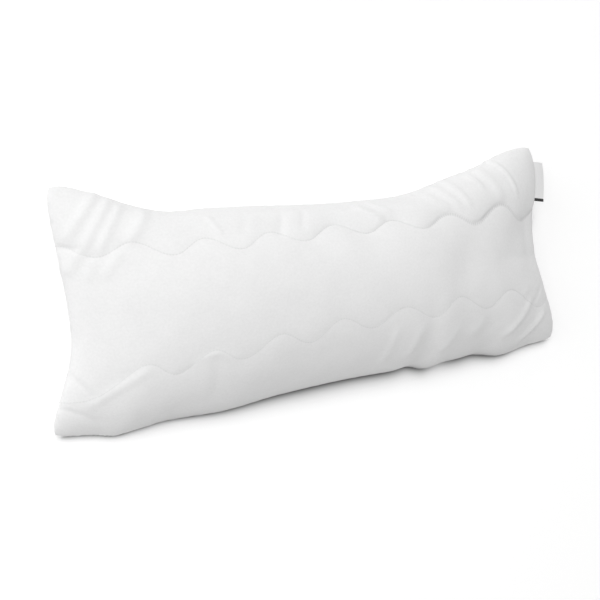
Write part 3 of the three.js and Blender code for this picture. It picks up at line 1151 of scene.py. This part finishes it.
def stitch_tree():
    """Beads of thread along every edge line of a mesh."""
    tree = bpy.data.node_groups.new("stitches", "GeometryNodeTree")
    sockets = {}
    for name, kind in (
        ("Lines", "NodeSocketGeometry"),
        ("Pitch", "NodeSocketFloat"),
        ("Length", "NodeSocketFloat"),
        ("Radius", "NodeSocketFloat"),
        ("Thread", "NodeSocketMaterial"),
    ):
        sockets[name] = tree.interface.new_socket(name, in_out="INPUT", socket_type=kind).identifier
    tree.interface.new_socket("Stitches", in_out="OUTPUT", socket_type="NodeSocketGeometry")
    wire = Wire(tree)
    given = tree.nodes.new("NodeGroupInput")
    lines, pitch, length, radius, thread = (Wire(tree, given.outputs[name]) for name in sockets)
    curve = wire.node("GeometryNodeMeshToCurve", None, {"Mesh": lines})
    steps = wire.node("GeometryNodeResampleCurve", {"mode": "LENGTH"}, {"Curve": curve, "Length": pitch})
    ball = {"Segments": BEAD_SEGMENTS, "Rings": BEAD_RINGS, "Radius": 1.0}
    bead = wire.node("GeometryNodeMeshUVSphere", None, ball)
    size = wire.node("ShaderNodeCombineXYZ", None, {"X": length * 0.5, "Y": radius, "Z": radius})
    bead = wire.node("GeometryNodeTransform", None, {"Geometry": bead, "Scale": size})
    way = wire.node("GeometryNodeInputTangent")
    turn = wire.node("FunctionNodeAlignRotationToVector", {"axis": "X"}, {"Vector": way})
    placed = {"Points": steps, "Instance": bead, "Rotation": turn}
    beads = wire.node("GeometryNodeInstanceOnPoints", None, placed)
    beads = wire.node("GeometryNodeRealizeInstances", None, {"Geometry": beads})
    beads = wire.node("GeometryNodeSetShadeSmooth", None, {"Geometry": beads})
    beads = wire.node("GeometryNodeSetMaterial", None, {"Geometry": beads, "Material": thread})
    tree.links.new(beads.socket, tree.nodes.new("NodeGroupOutput").inputs["Stitches"])
    return tree, sockets


sewing_tree, sewing_inputs = stitch_tree()
print("stitch tree has", len(sewing_tree.nodes), "nodes")

# %% [markdown]
# ## Stitches
# The sewn lines are the cover's own mesh lines along the rows, on the front and on the back. They are
# lifted a little off the cloth, so that the thread lies on it and doesn't sink in, and the tree sews along
# them.

# %% Stitches
STITCH_LENGTH = 2.9 * MM
THREAD_RADIUS = 0.32 * MM
STITCH_LIFT = 0.1 * MM


def sewn_lines():
    """The sewn rows as edge lines that lie on the finished cloth."""
    lifted = cover_points_fine + STITCH_LIFT * normals_of(cover_mesh)
    points = np.concatenate([lifted[row] for row in row_points])
    points[:, 2] = np.maximum(points[:, 2], THREAD_RADIUS)
    starts = np.arange(len(points)).reshape(len(row_points), -1)
    edges = np.stack([starts[:, :-1], starts[:, 1:]], axis=-1).reshape(-1, 2)
    mesh = bpy.data.meshes.new("row_stitches")
    mesh.from_pydata(points, edges.tolist(), [])
    return mesh


stitches = add_object("row_stitches", sewn_lines())
sewing = stitches.modifiers.new("sewing", "NODES")
sewing.node_group = sewing_tree
sewing[sewing_inputs["Pitch"]] = STITCH_PITCH
sewing[sewing_inputs["Length"]] = STITCH_LENGTH
sewing[sewing_inputs["Radius"]] = THREAD_RADIUS
sewing[sewing_inputs["Thread"]] = sewing_thread
stitch_mesh = as_plain_mesh(stitches, "row_stitches")
print("stitches have", len(stitch_mesh.polygons), "faces")

# %% [markdown]
# ## Label
# The label is a white satin tape, folded once with its two ends sewn into the right side seam, and its
# lower edge is a dark selvedge. Its face is bare. The tape's way is out from the seam, round the fold and
# back. That line is drawn along the seam as a grid, and Solidify gives it its thickness.

# %% Label
LABEL_TOP = 0.86
LABEL_BOTTOM = 0.465
LABEL_OUT = 17.5 * MM
LABEL_TUCK = 2 * MM
LABEL_FOLD_RADIUS = 0.9 * MM
LABEL_OPENS_AT = 8 * MM
LABEL_DROOP = 3 * MM
LABEL_LEAN = 3 * MM
LABEL_WAVE = 0.5 * MM
LABEL_WAVE_START = 1.0
LABEL_WAVE_TURN = 5.0
TAPE_THICKNESS = 0.4 * MM
LABEL_STEPS = 40
PLY_STEPS = 14
FOLD_STEPS = 8


def tape_way():
    """The tape's way in its section: how far out of the seam, and how high over the seam's line."""
    out = np.linspace(-LABEL_TUCK, LABEL_OUT - LABEL_FOLD_RADIUS, PLY_STEPS + 1)
    turn = np.linspace(0, np.pi, FOLD_STEPS + 1)[1:-1]
    bend = out[-1] + LABEL_FOLD_RADIUS * np.sin(turn)
    lift = LABEL_FOLD_RADIUS * np.ones_like(out)
    reach = np.concatenate([out, bend, out[::-1]])
    height = np.concatenate([lift, LABEL_FOLD_RADIUS * np.cos(turn), -lift])
    return reach, height * ramp(-LABEL_TUCK, LABEL_OPENS_AT, reach)


def label_grid():
    """Points of the tape, from its top edge down along the seam and out round its fold."""
    reach, height = tape_way()
    down = np.linspace(0, 1, LABEL_STEPS + 1)[:, None]
    across = LABEL_TOP + (LABEL_BOTTOM - LABEL_TOP) * down
    points = seam_sheet(np.ones_like(across), across) + np.zeros((1, len(reach), 1))
    free = (np.maximum(reach, 0) / LABEL_OUT) ** 2
    wave = LABEL_WAVE * np.sin(LABEL_WAVE_START + LABEL_WAVE_TURN * down)
    sag = (LABEL_DROOP * (1 - down) - wave) * free
    points[..., 0] += reach
    points[..., 1] -= LABEL_LEAN * np.maximum(reach, 0) / LABEL_OUT
    points[..., 2] += height - sag
    return points


tape_points = label_grid()
tape_down = lengths_along(tape_points.transpose(1, 0, 2)).T
tape_out = lengths_along(tape_points)
label_length = tape_down[:, 0].max()
tape_index = np.arange(tape_down.size).reshape(tape_down.shape)
label_mesh = bpy.data.meshes.new("label_tape")
label_mesh.from_pydata(tape_points.reshape(-1, 3), [], quads(tape_index).tolist())
keep_map(label_mesh, "tape", np.stack([tape_down, tape_out], axis=-1).reshape(-1, 2))
label = add_object("label_tape", label_mesh)
ply = label.modifiers.new("ply", "SOLIDIFY")
ply.thickness = TAPE_THICKNESS
ply.offset = 0
label_mesh = as_plain_mesh(label, "label_tape")
label_mesh.shade_smooth()

# %% [markdown]
# ## Label tape
# Satin tape is smooth, with fine ribs across it that catch the light. Object coordinates would cut through
# the fold, so the ribs and the dark selvedge follow the tape's own UV map, in metres down the label and
# out along the tape.

# %% Label tape
TAPE_GREY = 0.82
RIB_GREY = 0.02
RIB_PITCH = 0.45 * MM
RIB_LENGTH = 0.9 * MM
RIB_BUMP = 0.3
RIB_HEIGHT = 0.1 * MM
SELVEDGE_DARK = 0.97
SELVEDGE_WIDTH = 4.2 * MM
SELVEDGE_EDGE = 0.5 * MM
TAPE_ROUGHNESS = 0.55
TAPE_SHEEN = 0.1


def tape_finish():
    made, shader, wire = new_material("label_tape")
    tape = wire.node("ShaderNodeUVMap", {"uv_map": "tape"})
    down = axis_of(tape, "X")
    ribs = ripple(axis_of(tape, "Y"), RIB_PITCH) * ripple(down, RIB_LENGTH)
    selvedge = ((down - (label_length - SELVEDGE_WIDTH)) / SELVEDGE_EDGE).clipped(0, 1)
    feed_grey(shader, "Base Color", (TAPE_GREY + RIB_GREY * ribs) * (1 - SELVEDGE_DARK * selvedge))
    bump = {"Strength": RIB_BUMP, "Distance": RIB_HEIGHT, "Height": ribs}
    feed(shader, "Normal", wire.node("ShaderNodeBump", None, bump))
    set_values(shader, {"Roughness": TAPE_ROUGHNESS, "Sheen Weight": TAPE_SHEEN})
    return made


label_mesh.materials.append(tape_finish())
print("selvedge is", round(SELVEDGE_WIDTH / MM, 1), "mm wide")

# %% [markdown]
# ## What each piece stands for
# Every piece rides on the one body, because cloth has no joints. The cover and the label take the place
# of their solids.

# %% What each piece stands for
for piece, slot in ((cover, "cover_cloth"), (stitches, "cover_cloth"), (label, "label_tape")):
    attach(piece, "root")
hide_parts("cover")
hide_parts("label")
print("pieces:", [piece.name for piece in (cover, stitches, label)])
